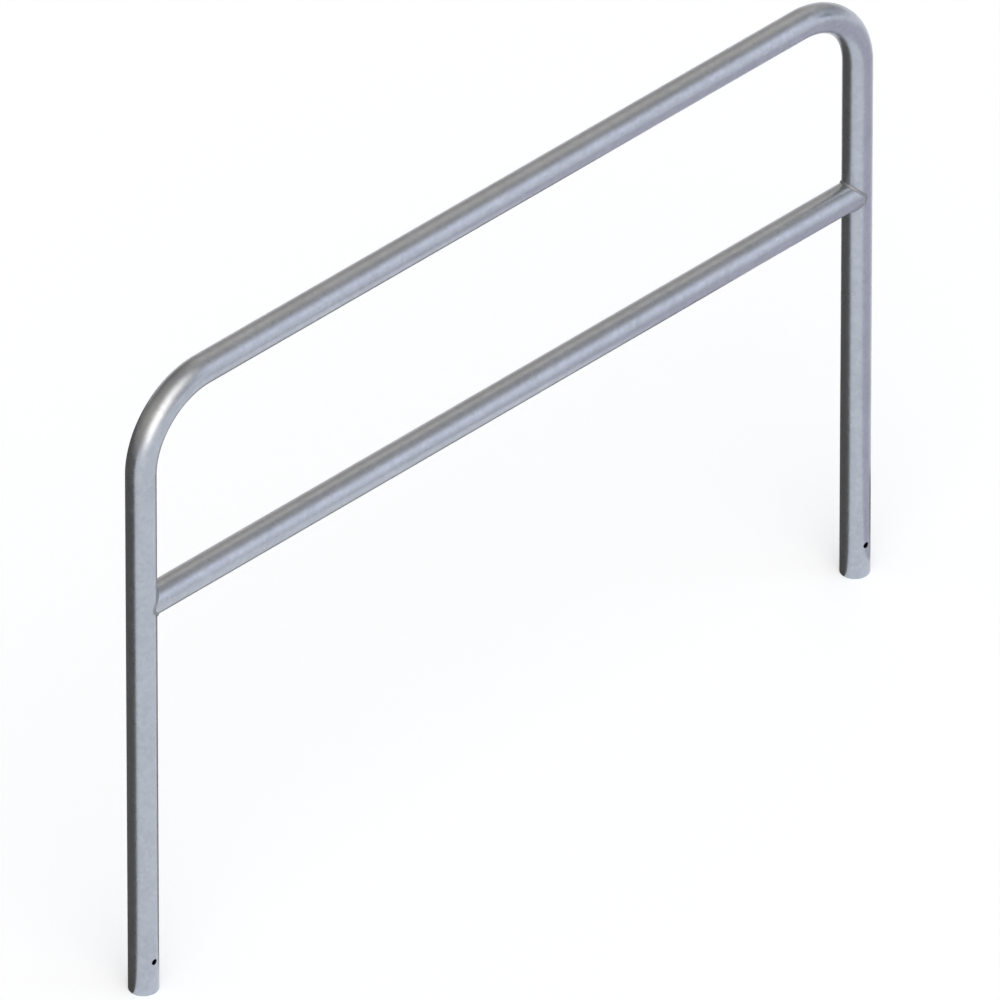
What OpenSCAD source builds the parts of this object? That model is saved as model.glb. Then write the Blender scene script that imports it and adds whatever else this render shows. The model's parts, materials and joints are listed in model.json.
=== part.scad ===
// Steel hoop barrier for a car park or footway.
// One round tube is bent into a hoop, and a mid rail of the same tube is welded between its legs.
// The legs stand in concrete up to the ground line, held there by a bar through each foot.
// X runs along the barrier, Z is up, and the origin is the centre of the left foot.

/* [Tube] */
// Outside diameter of the hoop and of the mid rail
tube_d = 60.3; // [48.3, 60.3, 76.1]
// Wall thickness of both tubes
tube_wall = 2.6; // [2:0.1:5]

/* [Hoop] */
// Width over the outsides of the two legs
hoop_width = 2000; // [1000:50:3000]
// Height of the hoop above the ground
hoop_height = 1000; // [800:50:1300]
// Length of leg below the ground
root_length = 400; // [250:25:600]
// Radius of the two bends, along the tube's centre line
bend_radius = 165; // [120:5:300]

/* [Mid rail] */
// Height of the rail's centre line above the ground
rail_height = 500; // [300:10:600]

/* [Anchor holes] */
// Diameter of the hole for an anchor bar through each foot
anchor_hole_d = 13; // [9:1:20]
// Height of that hole's centre above the end of the leg
anchor_hole_height = 75; // [50:5:150]

/* [Vent holes] */
// Diameter of the hidden hole that lets zinc and air from each leg into the rail
vent_hole_d = 20; // [10:1:30]

/* [Welds] */
// Length that the weld reaches along each tube where they meet at a right angle
weld_leg = 4.2; // [3:0.1:5]
// Height of the weld above the tubes where they run flush at the sides
weld_crown = 1.7; // [1:0.1:2.5]
// Radius of the weld's rounded face
weld_round = 5.5; // [4.5:0.1:6]

/* [Hidden] */
$fn = 96;
// Sides of the cylinders that the thin bead is fitted to
fit_fn = 360;

steel = [0.69, 0.72, 0.77];
weld_steel = [0.62, 0.65, 0.69];

// Cutters run this far past what they cut
overrun = 1;

tube_r = tube_d / 2;
bore_r = tube_r - tube_wall;

// The legs' centre lines stand at 0 and leg_span, and the bends start at leg_straight
leg_span = hoop_width - tube_d;
top_z = root_length + hoop_height - tube_r;
leg_straight = top_z - bend_radius;
top_straight = leg_span - 2 * bend_radius;
rail_z = root_length + rail_height;

// The weld's path rounds the two sharp points of the seam at this distance from the leg's centre line
seam_turn = weld_round;
// Where the tubes run flush the weld is this wide to each side of its path
flush_half_width = sqrt(pow(weld_round, 2) - pow(weld_round - weld_crown, 2));
// The thin points of each coped end are ground back to here, under the weld
cope_blunt = seam_turn - flush_half_width / 2;
// Depth of the bead's centre under the tubes' surfaces, at a right angle and where they run flush
corner_depth = (sqrt(2 * pow(weld_round, 2) - pow(weld_leg, 2)) - weld_leg) / sqrt(2);
flush_depth = weld_round - weld_crown;
seam_stations = 96;
bead_sides = 16;

// A straight length of the tube, standing on the XY plane
module straight_tube(length) {
    linear_extrude(length) difference() {
        circle(r = tube_r);
        circle(r = bore_r);
    }
}

// A quarter bend that carries on from the top of a leg at the origin and turns towards +X
module quarter_bend() {
    translate([bend_radius, 0, 0]) rotate([90, 0, 0]) rotate([0, 0, 90])
        rotate_extrude(angle = 90) translate([bend_radius, 0]) difference() {
            circle(r = tube_r);
            circle(r = bore_r);
        }
}

// Everything that is the same at both ends of the barrier is drawn at the left and repeated
module mirrored_to_right() {
    translate([leg_span, 0, 0]) mirror([1, 0, 0]) children();
}

module half_hoop() {
    straight_tube(leg_straight);
    translate([0, 0, leg_straight]) quarter_bend();
}

// The anchor bar's hole runs from front to back through both walls of the leg
module anchor_hole() {
    translate([0, 0, anchor_hole_height]) rotate([90, 0, 0])
        cylinder(d = anchor_hole_d, h = tube_d + 2 * overrun, center = true);
}

// The vent hole opens the leg's inner wall inside the end of the rail
module vent_hole() {
    translate([0, 0, rail_z]) rotate([0, 90, 0]) cylinder(d = vent_hole_d, h = tube_r + overrun);
}

module hoop_tube() {
    color(steel) difference() {
        union() {
            half_hoop();
            mirrored_to_right() half_hoop();
            translate([bend_radius, 0, top_z]) rotate([0, 90, 0]) straight_tube(top_straight);
        }
        anchor_hole();
        vent_hole();
        mirrored_to_right() {
            anchor_hole();
            vent_hole();
        }
    }
}

// The outside of a leg beside the rail, which the coped end and the weld fit
module leg_outside() {
    reach = tube_r + weld_round + overrun;
    translate([0, 0, rail_z - reach]) cylinder(r = tube_r, h = 2 * reach, $fn = fit_fn);
}

// Both ends are coped with a hole saw of the legs' diameter and their thin points ground back
module mid_rail() {
    color(steel) difference() {
        translate([cope_blunt, 0, rail_z]) rotate([0, 90, 0])
            straight_tube(leg_span - 2 * cope_blunt);
        leg_outside();
        mirrored_to_right() leg_outside();
    }
}

// The seam is where two tubes of one radius cross: a saddle of two half ellipses, seen at
// the angle a around the rail, whose two sharp points are rounded to seam_turn.
function seam_x(a) = pow(pow(tube_r * sin(a), 4) + pow(seam_turn, 4), 1 / 4);
function seam_point(a) = [seam_x(a), tube_r * cos(a), tube_r * sin(a)];
function unit(v) = v / norm(v);
function rail_normal(a) = [0, cos(a), sin(a)];
function leg_normal(a) = unit([abs(sin(a)), cos(a), 0]);
function bead_out(a) = unit(rail_normal(a) + leg_normal(a));

// How far the two tubes are from a corner there: 0 at a right angle and 1 where they run flush
function flushness(a) = pow(cos(a), 2);
function bead_depth(a) = corner_depth + (flush_depth - corner_depth) * flushness(a);
function bead_centre(a) = seam_point(a) - bead_depth(a) * bead_out(a);

// A ring of the bead stands square to its path, which step degrees either side give
function bead_ring(a, step) =
    let (
        along = unit(bead_centre(a + step) - bead_centre(a - step)),
        across = unit(cross(along, bead_out(a))),
        out = cross(across, along)
    )
    [for (k = [0:bead_sides - 1])
        let (b = 360 * k / bead_sides)
        bead_centre(a) + weld_round * (cos(b) * out + sin(b) * across)];

// A round bead swept along the seam at the left leg, cut to the two tubes that it joins
module rail_weld() {
    step = 360 / seam_stations;
    points = [for (i = [0:seam_stations - 1]) each bead_ring(i * step, step / 2)];
    faces = [
        for (i = [0:seam_stations - 1], k = [0:bead_sides - 1])
            let (
                next_ring = (i + 1) % seam_stations * bead_sides,
                this_ring = i * bead_sides,
                k2 = (k + 1) % bead_sides
            )
            each [
                [this_ring + k, next_ring + k, this_ring + k2],
                [this_ring + k2, next_ring + k, next_ring + k2]
            ]
    ];
    difference() {
        translate([0, 0, rail_z]) polyhedron(points, faces);
        leg_outside();
        translate([cope_blunt, 0, rail_z]) rotate([0, 90, 0])
            cylinder(r = tube_r, h = tube_d, $fn = fit_fn);
    }
}

module left_rail_weld() {
    color(weld_steel) rail_weld();
}

module right_rail_weld() {
    color(weld_steel) mirrored_to_right() rail_weld();
}

hoop_tube();
mid_rail();
left_rail_weld();
right_rail_weld();
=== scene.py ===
# Steel hoop barrier: a bent galvanised tube with a mid rail of the same tube welded between its legs.
import json
import math
import bmesh
import bpy
from mathutils import Matrix, Vector


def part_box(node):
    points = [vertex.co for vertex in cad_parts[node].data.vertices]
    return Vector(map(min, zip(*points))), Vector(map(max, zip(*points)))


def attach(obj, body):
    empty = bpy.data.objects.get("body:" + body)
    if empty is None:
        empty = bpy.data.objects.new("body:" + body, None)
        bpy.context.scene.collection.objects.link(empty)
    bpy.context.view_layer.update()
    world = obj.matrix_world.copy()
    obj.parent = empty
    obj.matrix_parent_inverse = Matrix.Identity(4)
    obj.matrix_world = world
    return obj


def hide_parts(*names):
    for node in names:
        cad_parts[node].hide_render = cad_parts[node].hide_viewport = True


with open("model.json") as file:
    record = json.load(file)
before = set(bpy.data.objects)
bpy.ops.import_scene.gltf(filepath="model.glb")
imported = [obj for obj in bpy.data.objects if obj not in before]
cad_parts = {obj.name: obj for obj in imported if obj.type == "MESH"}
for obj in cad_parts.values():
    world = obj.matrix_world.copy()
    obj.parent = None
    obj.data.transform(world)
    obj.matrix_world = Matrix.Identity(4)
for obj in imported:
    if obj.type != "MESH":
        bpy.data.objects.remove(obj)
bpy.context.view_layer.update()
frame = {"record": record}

# Camera. The barrier is seen as in an isometric drawing, from 45 degrees to its left and about 35
# degrees up. A very long lens from far away stands in for the parallel view, which would cut off the
# front view, because the other views keep its settings.
MM = 0.001
VIEW_AZIMUTH, VIEW_ELEVATION = math.radians(-45.02), math.radians(35.52)
CAMERA_AIM = Vector((966, 0, 659)) * MM
CAMERA_DISTANCE = 88.3
SENSOR_MM = 36
LENS_MM = 46 * SENSOR_MM

camera = bpy.data.objects.new("camera", bpy.data.cameras.new("camera"))
bpy.context.scene.collection.objects.link(camera)
towards_camera = Vector((
    math.sin(VIEW_AZIMUTH) * math.cos(VIEW_ELEVATION),
    -math.cos(VIEW_AZIMUTH) * math.cos(VIEW_ELEVATION),
    math.sin(VIEW_ELEVATION),
))
camera.location = CAMERA_AIM + CAMERA_DISTANCE * towards_camera
camera.rotation_mode = "QUATERNION"
camera.rotation_quaternion = (-towards_camera).to_track_quat("-Z", "Y")
camera.data.sensor_width = SENSOR_MM
camera.data.lens = LENS_MM
camera.data.clip_start = CAMERA_DISTANCE / 2
camera.data.clip_end = CAMERA_DISTANCE * 2
bpy.context.scene.camera = camera

# Hoop. One length of round steel tube, 60.3 mm across with a 2.6 mm wall, is bent cold to 165 mm
# radius at both corners. Its ends are sawn square, a hole for an anchor bar is drilled through each
# foot, and a vent hole opens each leg's wall behind the rail. It was galvanised after welding.
hoop_low, hoop_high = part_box("hoop_tube")
rail_low, rail_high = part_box("mid_rail")
TUBE_R = (hoop_high.y - hoop_low.y) / 2
TUBE_WALL = 2.6 * MM
BEND_R = 165 * MM
LEG_SPAN = hoop_high.x - hoop_low.x - 2 * TUBE_R
TOP_Z = hoop_high.z - TUBE_R
RAIL_Z = (rail_low.z + rail_high.z) / 2
VENT_R = 10 * MM
END_ROUND = 0.5 * MM
END_ROUND_STEPS = 3
END_ROUND_ANGLE = 60      # degrees, so that only the sawn ends are rounded
CREASE = 35               # degrees, above which an edge stays sharp
TUBE_SIDES = 192
BEND_RINGS = 48
DRILL_SIDES = 64
DRILL_REACH = 1.1 * TUBE_R


def linear(hex_colour):
    """An sRGB hex colour as linear red, green, blue and alpha."""
    parts = [int(hex_colour[i:i + 2], 16) / 255 for i in (0, 2, 4)]
    return [c / 12.92 if c <= 0.04045 else ((c + 0.055) / 1.055) ** 2.4 for c in parts] + [1]


def add(tree, kind, inputs=None, **settings):
    """Adds a node with its settings, and fills its inputs with values or links."""
    made = tree.nodes.new(kind)
    for name, value in settings.items():
        setattr(made, name, value)
    for key, value in (inputs or {}).items():
        if isinstance(value, bpy.types.NodeSocket):
            tree.links.new(value, made.inputs[key])
        else:
            made.inputs[key].default_value = value
    return made


# Galvanised steel, hot-dipped: the zinc freezes into flat crystals, the spangle, that catch the
# light a little differently, under a satin skin that smooths the metal below it.
SPANGLE = 9 * MM
SPANGLE_WARP = 0.5                  # how far noise pushes the crystals' edges, in crystals
CRYSTAL_SHARE = 0.5                 # of a crystal's own tone, added to that of the clouds
TONE_LOW, TONE_HIGH = 0.3, 1.2      # the sums of both that give the dull and the bright colour
SHINE_SPREAD = 0.03                 # in roughness, from crystal to crystal
SKIN_GRAIN = 1.6 * MM
CLOUD = 90 * MM


def galvanised_steel(name, bright, dull, roughness, grain_depth):
    """Metal whose colour and roughness change a little from crystal to crystal."""
    made = bpy.data.materials.new(name)
    made.use_nodes = True
    tree = made.node_tree
    tree.nodes.clear()
    place = add(tree, "ShaderNodeTexCoord").outputs["Object"]
    feather = add(tree, "ShaderNodeTexNoise",
                  {"Vector": place, "Scale": 2 / SPANGLE, "Detail": 3.0, "Roughness": 0.6})
    pushed = add(tree, "ShaderNodeVectorMath",
                 {0: feather.outputs["Color"], "Scale": SPANGLE_WARP * SPANGLE}, operation="SCALE")
    moved = add(tree, "ShaderNodeVectorMath", {0: place, 1: pushed.outputs[0]}, operation="ADD")
    crystal = add(tree, "ShaderNodeTexVoronoi", {"Vector": moved.outputs[0], "Scale": 1 / SPANGLE})
    facet = add(tree, "ShaderNodeSeparateColor", {0: crystal.outputs["Color"]})
    cloud = add(tree, "ShaderNodeTexNoise",
                {"Vector": place, "Scale": 1 / CLOUD, "Detail": 3.0, "Roughness": 0.55})
    tone = add(tree, "ShaderNodeMath",
               {0: facet.outputs["Red"], 1: CRYSTAL_SHARE, 2: cloud.outputs["Fac"]},
               operation="MULTIPLY_ADD")
    spread = add(tree, "ShaderNodeMapRange",
                 {"Value": tone.outputs[0], "From Min": TONE_LOW, "From Max": TONE_HIGH})
    colour = add(tree, "ShaderNodeMix",
                 {"Factor": spread.outputs[0], 6: linear(dull), 7: linear(bright)},
                 data_type="RGBA")
    shine = add(tree, "ShaderNodeMapRange",
                {"Value": facet.outputs["Green"], "To Min": roughness + SHINE_SPREAD,
                 "To Max": roughness - SHINE_SPREAD})
    grain = add(tree, "ShaderNodeTexNoise",
                {"Vector": place, "Scale": 1 / SKIN_GRAIN, "Detail": 2.0, "Roughness": 0.5})
    skin = add(tree, "ShaderNodeBump",
               {"Height": grain.outputs["Fac"], "Distance": grain_depth, "Strength": 1.0})
    metal = add(tree, "ShaderNodeBsdfPrincipled",
                {"Base Color": colour.outputs[2], "Metallic": 1.0,
                 "Roughness": shine.outputs[0], "Normal": skin.outputs[0]})
    add(tree, "ShaderNodeOutputMaterial", {"Surface": metal.outputs[0]})
    return made


galvanised_tube = galvanised_steel("hot-dip galvanised steel tube", "b8bec8", "a9afb9", 0.30,
                                   0.008 * MM)


def swept_tube_tree():
    """Geometry Nodes: a tube's outer skin, swept up one leg, over the top and down the other.

    Its line has four corners, 0 to 3 from the left foot: 1 and 2 are at the top, 2 and 3 on the right.
    """
    tree = bpy.data.node_groups.new("bent tube", "GeometryNodeTree")
    for name, kind in (("Leg height", "Float"), ("Leg span", "Float"), ("Bend radius", "Float"),
                       ("Tube radius", "Float"), ("Rings in a bend", "Int"), ("Sides", "Int"),
                       ("Steel", "Material")):
        tree.interface.new_socket(name, in_out="INPUT", socket_type="NodeSocket" + kind)
    tree.interface.new_socket("Tube", in_out="OUTPUT", socket_type="NodeSocketGeometry")
    size = add(tree, "NodeGroupInput").outputs
    corners = add(tree, "GeometryNodeMeshLine", {"Count": 4})
    corner = add(tree, "GeometryNodeInputIndex").outputs[0]
    on_right = add(tree, "ShaderNodeMath", {0: corner, 1: 1.5}, operation="GREATER_THAN")
    on_top = add(tree, "ShaderNodeMath", {0: corner, 1: 1.5, 2: 1.0}, operation="COMPARE")
    x = add(tree, "ShaderNodeMath", {0: on_right.outputs[0], 1: size["Leg span"]},
            operation="MULTIPLY")
    z = add(tree, "ShaderNodeMath", {0: on_top.outputs[0], 1: size["Leg height"]},
            operation="MULTIPLY")
    place = add(tree, "ShaderNodeCombineXYZ", {"X": x.outputs[0], "Z": z.outputs[0]})
    bent = add(tree, "GeometryNodeSetPosition",
               {"Geometry": corners.outputs[0], "Position": place.outputs[0]})
    line = add(tree, "GeometryNodeMeshToCurve", {"Mesh": bent.outputs[0]})
    rounded = add(tree, "GeometryNodeFilletCurve",
                  {"Curve": line.outputs[0], "Count": size["Rings in a bend"],
                   "Radius": size["Bend radius"]}, mode="POLY")
    section = add(tree, "GeometryNodeCurvePrimitiveCircle",
                  {"Resolution": size["Sides"], "Radius": size["Tube radius"]})
    skin = add(tree, "GeometryNodeCurveToMesh",
               {"Curve": rounded.outputs[0], "Profile Curve": section.outputs[0]})
    whole = add(tree, "GeometryNodeRealizeInstances", {"Geometry": skin.outputs[0]})
    steel = add(tree, "GeometryNodeSetMaterial",
                {"Geometry": whole.outputs[0], "Material": size["Steel"]})
    add(tree, "NodeGroupOutput", {"Tube": steel.outputs[0]})
    return tree


def set_inputs(modifier, **values):
    """Sets a Geometry Nodes modifier's inputs, named here with _ for a space."""
    named = {item.name: item.identifier for item in modifier.node_group.interface.items_tree
             if item.in_out == "INPUT"}
    for name, value in values.items():
        modifier[named[name.replace("_", " ")]] = value


def linked_object(name, mesh):
    """A new object with this mesh, in the scene."""
    made = bpy.data.objects.new(name, mesh)
    bpy.context.scene.collection.objects.link(made)
    return made


def rod(mesh, radius, start, end, sides):
    """Adds a closed cylinder between two points to a bmesh."""
    axis = end - start
    turn = axis.to_track_quat("Z", "Y").to_matrix().to_4x4()
    bmesh.ops.create_cone(mesh, cap_ends=True, segments=sides, radius1=radius, radius2=radius,
                          depth=axis.length,
                          matrix=Matrix.Translation((start + end) / 2) @ turn)


def cutter(name, rods, sides):
    """An object made of cylinders, each (radius, start, end), for cutting another."""
    shape = bmesh.new()
    for radius, start, end in rods:
        rod(shape, radius, Vector(start), Vector(end), sides)
    mesh = bpy.data.meshes.new(name)
    shape.to_mesh(mesh)
    shape.free()
    return linked_object(name, mesh)


def cut_away(piece, tool):
    """Cuts a tool's shape out of a piece, once the piece is finished."""
    step = piece.modifiers.new("cut", "BOOLEAN")
    step.operation, step.solver, step.object = "DIFFERENCE", "EXACT", tool


def finished(piece, crease_degrees, tools=()):
    """Turns a piece with modifiers into a plain mesh with smooth shading, and removes its tools."""
    mesh = bpy.data.meshes.new_from_object(
        piece.evaluated_get(bpy.context.evaluated_depsgraph_get()))
    piece.modifiers.clear()
    piece.data = mesh
    mesh.name = piece.name
    mesh.shade_smooth()
    mesh.set_sharp_from_angle(angle=math.radians(crease_degrees))
    for tool in tools:
        bpy.data.objects.remove(tool)


hoop = linked_object("hoop", bpy.data.meshes.new("hoop"))
sweep = hoop.modifiers.new("sweep", "NODES")
sweep.node_group = swept_tube_tree()
set_inputs(sweep, Leg_height=TOP_Z, Leg_span=LEG_SPAN, Bend_radius=BEND_R, Tube_radius=TUBE_R,
           Rings_in_a_bend=BEND_RINGS, Sides=TUBE_SIDES, Steel=galvanised_tube)
wall = hoop.modifiers.new("wall", "SOLIDIFY")
wall.thickness, wall.offset, wall.use_even_offset = TUBE_WALL, -1, True
ends = hoop.modifiers.new("ends", "BEVEL")
ends.width, ends.segments = END_ROUND, END_ROUND_STEPS
ends.angle_limit = math.radians(END_ROUND_ANGLE)

holes = []
for mount in frame["record"]["mounts"]:
    if mount["kind"] == "bore":
        centre = Vector(mount["pos_m"])
        reach = Vector((0, DRILL_REACH, 0))
        holes.append((mount["dims"]["r_mm"] * MM, centre - reach, centre + reach))
holes.append((VENT_R, (0, 0, RAIL_Z), (DRILL_REACH, 0, RAIL_Z)))
holes.append((VENT_R, (LEG_SPAN, 0, RAIL_Z), (LEG_SPAN - DRILL_REACH, 0, RAIL_Z)))
drill = cutter("drill", holes, DRILL_SIDES)
cut_away(hoop, drill)
finished(hoop, CREASE, [drill])
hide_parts("hoop_tube")
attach(hoop, "root")

# Mid rail. A straight length of the same tube, 500 mm above the ground. A hole saw of the tube's own
# diameter coped both ends to a saddle that fits the legs, and their thin points were ground back.
WELD_LEG, WELD_CROWN, WELD_ROUND = 4.2 * MM, 1.7 * MM, 5.5 * MM
SEAM_TURN = WELD_ROUND
FLUSH_DEPTH = WELD_ROUND - WELD_CROWN
FLUSH_HALF_WIDTH = math.sqrt(WELD_ROUND ** 2 - FLUSH_DEPTH ** 2)
COPE_BLUNT = SEAM_TURN - FLUSH_HALF_WIDTH / 2
COPE_RINGS = 4


def cope_x(radius, angle):
    """How far from the leg's centre line a cope cuts the tube, at this radius and angle round it."""
    return max(math.sqrt(max(TUBE_R ** 2 - (radius * math.cos(angle)) ** 2, 0)), COPE_BLUNT)


def coped_tube(name):
    """A closed tube wall along X between the legs, with a ring of faces across each coped end."""
    across = [TUBE_R - TUBE_WALL * i / COPE_RINGS for i in range(COPE_RINGS + 1)]
    profile = [(r, False) for r in reversed(across)] + [(r, True) for r in across]
    shape = bmesh.new()
    loops = []
    for radius, right in profile:
        loop = []
        for side in range(TUBE_SIDES):
            angle = math.tau * side / TUBE_SIDES
            x = cope_x(radius, angle)
            loop.append(shape.verts.new((LEG_SPAN - x if right else x, radius * math.cos(angle),
                                         RAIL_Z + radius * math.sin(angle))))
        loops.append(loop)
    for loop, after in zip(loops, loops[1:] + loops[:1]):
        for side in range(TUBE_SIDES):
            beside = (side + 1) % TUBE_SIDES
            shape.faces.new((loop[side], loop[beside], after[beside], after[side]))
    bmesh.ops.recalc_face_normals(shape, faces=shape.faces)
    mesh = bpy.data.meshes.new(name)
    shape.to_mesh(mesh)
    shape.free()
    return linked_object(name, mesh)


rail = coped_tube("rail")
rail.data.materials.append(galvanised_tube)
finished(rail, CREASE)
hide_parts("mid_rail")
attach(rail, "root")

# Rail welds. One run of weld goes all the way round each coped end, laid by hand in short steps
# that leave a ripple every 2.6 mm. It fills the corners above and below the rail and lies nearly
# flat at the sides, where the two tubes run flush. The zinc over it is a little duller.
RIPPLES = 84
RIPPLE_HEIGHT = 0.15 * MM
RIPPLE_BOW = 3.0          # how far a ripple bends across the bead, in ripples
RIPPLE_WANDER = 1.2       # how far noise moves the ripples along the seam, in ripples
WANDER_LENGTH = 9 * MM
STEPS_IN_A_RIPPLE = 8
BEAD_SIDES = 40
CORNER_DEPTH = (math.sqrt(2 * WELD_ROUND ** 2 - WELD_LEG ** 2) - WELD_LEG) / math.sqrt(2)
WELD_SEAT = 0.03 * MM     # how far the bead reaches into the tubes, so that no gap shows
WELD_CREASE = 50          # degrees
LEG_CUT = 2 * TUBE_R      # how far the cutting leg reaches above and below the rail's middle
END_CUT = 3 * TUBE_R      # how far the cutting rail reaches from the leg's middle

galvanised_weld = galvanised_steel("hot-dip galvanised weld", "9da1a7", "8f9399", 0.55, 0.02 * MM)


def bead_centre(angle):
    """The centre of the bead's round section at this angle round the rail, and the way out of it."""
    y, z = TUBE_R * math.cos(angle), TUBE_R * math.sin(angle)
    x = (z ** 4 + SEAM_TURN ** 4) ** 0.25
    rail_normal = Vector((0, math.cos(angle), math.sin(angle)))
    leg_normal = Vector((abs(math.sin(angle)), math.cos(angle), 0)).normalized()
    out = (rail_normal + leg_normal).normalized()
    depth = CORNER_DEPTH + (FLUSH_DEPTH - CORNER_DEPTH) * math.cos(angle) ** 2
    return Vector((x, y, z)) - depth * out, out


def seam_line(name, mirrored):
    """The closed line of bead centres, with the way out of the corner kept at each point."""
    flip = Vector((-1 if mirrored else 1, 1, 1))
    start = Vector((LEG_SPAN if mirrored else 0, 0, RAIL_Z))
    stations = RIPPLES * STEPS_IN_A_RIPPLE
    found = [bead_centre(math.tau * i / stations) for i in range(stations)]
    mesh = bpy.data.meshes.new(name)
    mesh.from_pydata([start + centre * flip for centre, out in found],
                     [(i, (i + 1) % stations) for i in range(stations)], [])
    outward = mesh.attributes.new("outward", "FLOAT_VECTOR", "POINT")
    for i, (centre, out) in enumerate(found):
        outward.data[i].vector = out * flip
    return linked_object(name, mesh)


def weld_bead_tree():
    """Geometry Nodes: a round bead along a closed line, with crescent ripples across it."""
    tree = bpy.data.node_groups.new("weld bead", "GeometryNodeTree")
    for name, kind in (("Seam", "Geometry"), ("Bead radius", "Float"), ("Ripples", "Float"),
                       ("Ripple height", "Float"), ("Ripple bow", "Float"),
                       ("Ripple wander", "Float"), ("Wander length", "Float"), ("Sides", "Int"),
                       ("Steel", "Material")):
        tree.interface.new_socket(name, in_out="INPUT", socket_type="NodeSocket" + kind)
    tree.interface.new_socket("Bead", in_out="OUTPUT", socket_type="NodeSocketGeometry")
    size = add(tree, "NodeGroupInput").outputs
    line = add(tree, "GeometryNodeMeshToCurve", {"Mesh": size["Seam"]})
    run = add(tree, "GeometryNodeSplineParameter").outputs["Factor"]
    place = add(tree, "GeometryNodeInputPosition").outputs[0]
    marked = add(tree, "GeometryNodeStoreNamedAttribute",
                 {"Geometry": line.outputs[0], "Name": "run", "Value": run})
    kept = add(tree, "GeometryNodeStoreNamedAttribute",
               {"Geometry": marked.outputs[0], "Name": "middle", "Value": place},
               data_type="FLOAT_VECTOR")
    section = add(tree, "GeometryNodeCurvePrimitiveCircle",
                  {"Resolution": size["Sides"], "Radius": size["Bead radius"]})
    skin = add(tree, "GeometryNodeCurveToMesh",
               {"Curve": kept.outputs[0], "Profile Curve": section.outputs[0]})
    middle = add(tree, "GeometryNodeInputNamedAttribute", {"Name": "middle"},
                 data_type="FLOAT_VECTOR")
    outward = add(tree, "GeometryNodeInputNamedAttribute", {"Name": "outward"},
                  data_type="FLOAT_VECTOR")
    along = add(tree, "GeometryNodeInputNamedAttribute", {"Name": "run"}, data_type="FLOAT")
    from_middle = add(tree, "ShaderNodeVectorMath", {0: place, 1: middle.outputs[0]},
                      operation="SUBTRACT")
    radial = add(tree, "ShaderNodeVectorMath", {0: from_middle.outputs[0]}, operation="NORMALIZE")
    crown = add(tree, "ShaderNodeVectorMath", {0: radial.outputs[0], 1: outward.outputs[0]},
                operation="DOT_PRODUCT")
    bow = add(tree, "ShaderNodeMath", {0: crown.outputs["Value"], 1: size["Ripple bow"]},
              operation="MULTIPLY")
    phase = add(tree, "ShaderNodeMath",
                {0: along.outputs[0], 1: size["Ripples"], 2: bow.outputs[0]},
                operation="MULTIPLY_ADD")
    wander_scale = add(tree, "ShaderNodeMath", {0: 1.0, 1: size["Wander length"]},
                       operation="DIVIDE")
    wander = add(tree, "ShaderNodeTexNoise",
                 {"Vector": middle.outputs[0], "Scale": wander_scale.outputs[0], "Detail": 1.0})
    uneven = add(tree, "ShaderNodeMath",
                 {0: wander.outputs["Fac"], 1: size["Ripple wander"], 2: phase.outputs[0]},
                 operation="MULTIPLY_ADD")
    half_turns = add(tree, "ShaderNodeMath", {0: uneven.outputs[0], 1: math.pi},
                     operation="MULTIPLY")
    wave = add(tree, "ShaderNodeMath", {0: half_turns.outputs[0]}, operation="SINE")
    scale = add(tree, "ShaderNodeMath", {0: wave.outputs[0]}, operation="ABSOLUTE")
    sunk = add(tree, "ShaderNodeMath", {0: scale.outputs[0], 1: 1.0}, operation="SUBTRACT")
    height = add(tree, "ShaderNodeMath", {0: sunk.outputs[0], 1: size["Ripple height"]},
                 operation="MULTIPLY")
    offset = add(tree, "ShaderNodeVectorMath",
                 {0: radial.outputs[0], "Scale": height.outputs[0]}, operation="SCALE")
    rippled = add(tree, "GeometryNodeSetPosition",
                  {"Geometry": skin.outputs[0], "Offset": offset.outputs[0]})
    whole = add(tree, "GeometryNodeRealizeInstances", {"Geometry": rippled.outputs[0]})
    steel = add(tree, "GeometryNodeSetMaterial",
                {"Geometry": whole.outputs[0], "Material": size["Steel"]})
    add(tree, "NodeGroupOutput", {"Bead": steel.outputs[0]})
    return tree


bead_tree = weld_bead_tree()
for name, node, leg_x, inward in (("left_weld", "left_rail_weld", 0, 1),
                                  ("right_weld", "right_rail_weld", LEG_SPAN, -1)):
    weld = seam_line(name, inward < 0)
    bead = weld.modifiers.new("bead", "NODES")
    bead.node_group = bead_tree
    set_inputs(bead, Bead_radius=WELD_ROUND, Ripples=RIPPLES, Ripple_height=RIPPLE_HEIGHT,
               Ripple_bow=RIPPLE_BOW, Ripple_wander=RIPPLE_WANDER, Wander_length=WANDER_LENGTH,
               Sides=BEAD_SIDES, Steel=galvanised_weld)
    fit_r = TUBE_R - WELD_SEAT
    leg = cutter("leg", [(fit_r, (leg_x, 0, RAIL_Z - LEG_CUT),
                          (leg_x, 0, RAIL_Z + LEG_CUT))], TUBE_SIDES)
    end = cutter("end", [(fit_r, (leg_x + inward * COPE_BLUNT, 0, RAIL_Z),
                          (leg_x + inward * END_CUT, 0, RAIL_Z))], TUBE_SIDES)
    cut_away(weld, leg)
    cut_away(weld, end)
    finished(weld, WELD_CREASE, [leg, end])
    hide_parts(node)
    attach(weld, "root")

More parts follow.
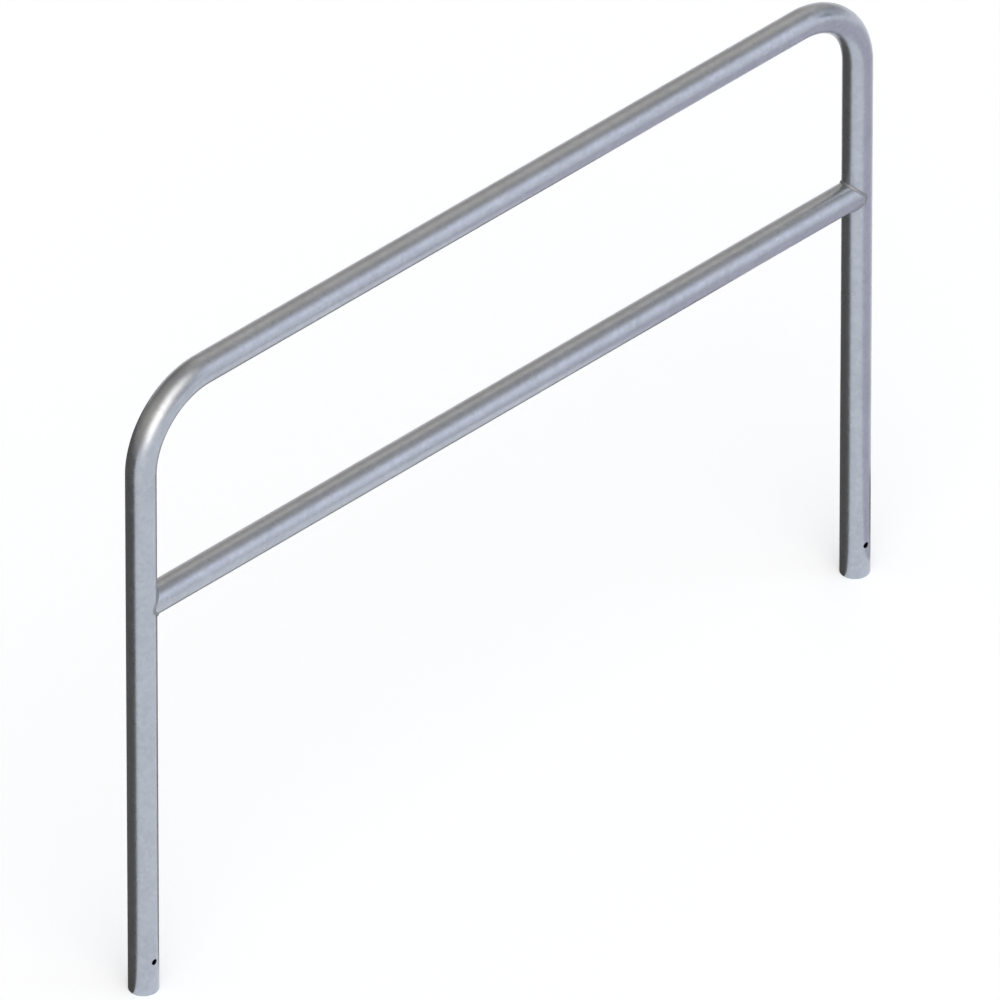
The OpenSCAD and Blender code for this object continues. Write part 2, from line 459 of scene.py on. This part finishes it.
# Studio. A plain white floor lies under the feet, in a room lit by soft lights: a warm key in front
# on the left, cool light from low in front and a narrow one on the right. The metal shows the lights,
# the white floor, and two cards that lie on the floor and are out of the camera's sight.
FLOOR_SIZE = 400
FLOOR_GLOW = 0.36         # added to the light that the floor returns, to bring it up to white
WARM, PLAIN, COOL = "fff5e6", "fffaf0", "eff1fa"
SOFT_LIGHTS = (
    # azimuth, elevation and half width in degrees, tint and strength
    (230, 25, 23, WARM, 2.6),     # key, in front on the left, for the white streak down the left bend
    (255, 60, 20, PLAIN, 1.4),    # above the key, to carry the streak on to the top rail
    (235, -30, 33, COOL, 1.5),    # low in front, where only its upper edge clears the floor
    (320, 17, 15, COOL, 2.6),     # on the right, for the bright line along both rails
    (330, -20, 45, COOL, 0.77),   # low on the right, cut off by the floor, for the middle of the rails
    (25, 45, 22, WARM, 0.67),     # high behind on the right, for the top of the rails
    (45, 0, 20, WARM, 0.58),      # level behind on the right
    (90, -13, 14, PLAIN, 0.64),   # low behind, cut off by the floor
    (150, 40, 45, WARM, 0.58),    # high behind on the left, for the outside of the left bend
)
FLAG_AZIMUTH, FLAG_ELEVATION, FLAG_HALF_WIDTH = 327, 14, 13
FLAG_SHADE = 0.97         # the share of light that the flag takes away in its middle
CARD_LIFT = 0.2 * MM
CARDS = (
    # name, lowest x and y, highest x and y, and colour
    ("dark_card", (-60, 0), (LEG_SPAN + 0.3, 60), "707070"),    # behind, for the legs' dark edge
    ("pale_card", (LEG_SPAN + 0.05, -4), (6, 0), "e8eaff"),     # on the right, for a bluer edge there
)


def direction(azimuth, elevation):
    """Azimuth runs from +X, the right of the barrier, through +Y, behind it."""
    a, e = math.radians(azimuth), math.radians(elevation)
    return Vector((math.cos(a) * math.cos(e), math.sin(a) * math.cos(e), math.sin(e)))


def soft_spot(tree, ray, azimuth, elevation, half_width):
    """A round glow that is 1 in one direction and a half at half_width degrees from it."""
    facing = add(tree, "ShaderNodeVectorMath", {0: ray, 1: direction(azimuth, elevation)},
                 operation="DOT_PRODUCT").outputs["Value"]
    off = add(tree, "ShaderNodeMath", {0: facing, 1: 1.0}, operation="SUBTRACT").outputs[0]
    tight = math.log(2) / (1 - math.cos(math.radians(half_width)))
    power = add(tree, "ShaderNodeMath", {0: off, 1: tight}, operation="MULTIPLY").outputs[0]
    return add(tree, "ShaderNodeMath", {0: power}, operation="EXPONENT").outputs[0]


world = bpy.data.worlds.new("studio")
bpy.context.scene.world = world
world.use_nodes = True
sky = world.node_tree
sky.nodes.clear()
ray = add(sky, "ShaderNodeTexCoord").outputs["Generated"]
glow = None
for azimuth, elevation, half_width, tint, strength in SOFT_LIGHTS:
    spot = soft_spot(sky, ray, azimuth, elevation, half_width)
    light = add(sky, "ShaderNodeVectorMath",
                {0: [c * strength for c in linear(tint)[:3]], "Scale": spot},
                operation="SCALE").outputs[0]
    if glow:
        light = add(sky, "ShaderNodeVectorMath", {0: glow, 1: light}, operation="ADD").outputs[0]
    glow = light
flag = soft_spot(sky, ray, FLAG_AZIMUTH, FLAG_ELEVATION, FLAG_HALF_WIDTH)
open_share = add(sky, "ShaderNodeMath", {0: flag, 1: -FLAG_SHADE, 2: 1.0},
                 operation="MULTIPLY_ADD").outputs[0]
glow = add(sky, "ShaderNodeVectorMath", {0: glow, "Scale": open_share},
           operation="SCALE").outputs[0]
# Below the horizon the room is plain white. The floor hides that half of it from the barrier.
height = add(sky, "ShaderNodeSeparateXYZ", {0: ray}).outputs["Z"]
below = add(sky, "ShaderNodeMath", {0: height, 1: 0.0}, operation="LESS_THAN").outputs[0]
room = add(sky, "ShaderNodeMix", {"Factor": below, 6: glow, 7: linear("ffffff")},
           data_type="RGBA").outputs[2]
lit = add(sky, "ShaderNodeBackground", {"Color": room})
add(sky, "ShaderNodeOutputWorld", {"Surface": lit.outputs[0]})


def sheet(name, low, high, height):
    """A flat sheet that lies level, from its lowest to its highest x and y."""
    mesh = bpy.data.meshes.new(name)
    mesh.from_pydata([(low[0], low[1], height), (high[0], low[1], height),
                      (high[0], high[1], height), (low[0], high[1], height)], [], [(0, 1, 2, 3)])
    return linked_object(name, mesh)


def paper(name, colour, glow_strength=0):
    """Matt paper. Its glow shows to the camera, to metal and through glass, and lights nothing."""
    made = bpy.data.materials.new(name)
    made.use_nodes = True
    tree = made.node_tree
    tree.nodes.clear()
    path = add(tree, "ShaderNodeLightPath").outputs
    seen = path["Is Camera Ray"]
    for kind in ("Is Glossy Ray", "Is Transmission Ray"):
        seen = add(tree, "ShaderNodeMath", {0: seen, 1: path[kind]}, operation="MAXIMUM").outputs[0]
    strength = add(tree, "ShaderNodeMath", {0: seen, 1: glow_strength},
                   operation="MULTIPLY").outputs[0]
    matt = add(tree, "ShaderNodeBsdfDiffuse", {"Color": linear(colour)})
    bright = add(tree, "ShaderNodeEmission", {"Color": linear("ffffff"), "Strength": strength})
    both = add(tree, "ShaderNodeAddShader", {0: matt.outputs[0], 1: bright.outputs[0]})
    add(tree, "ShaderNodeOutputMaterial", {"Surface": both.outputs[0]})
    return made


half = FLOOR_SIZE / 2
floor = sheet("floor", (-half, -half), (half, half), 0)
floor.data.materials.append(paper("white studio paper", "dfe6f1", FLOOR_GLOW))
for name, low, high, colour in CARDS:
    card = sheet(name, low, high, CARD_LIFT)
    card.data.materials.append(paper(name, colour))
    card.visible_camera = card.visible_diffuse = card.visible_shadow = False

scene = bpy.context.scene
scene.view_settings.view_transform = "Standard"
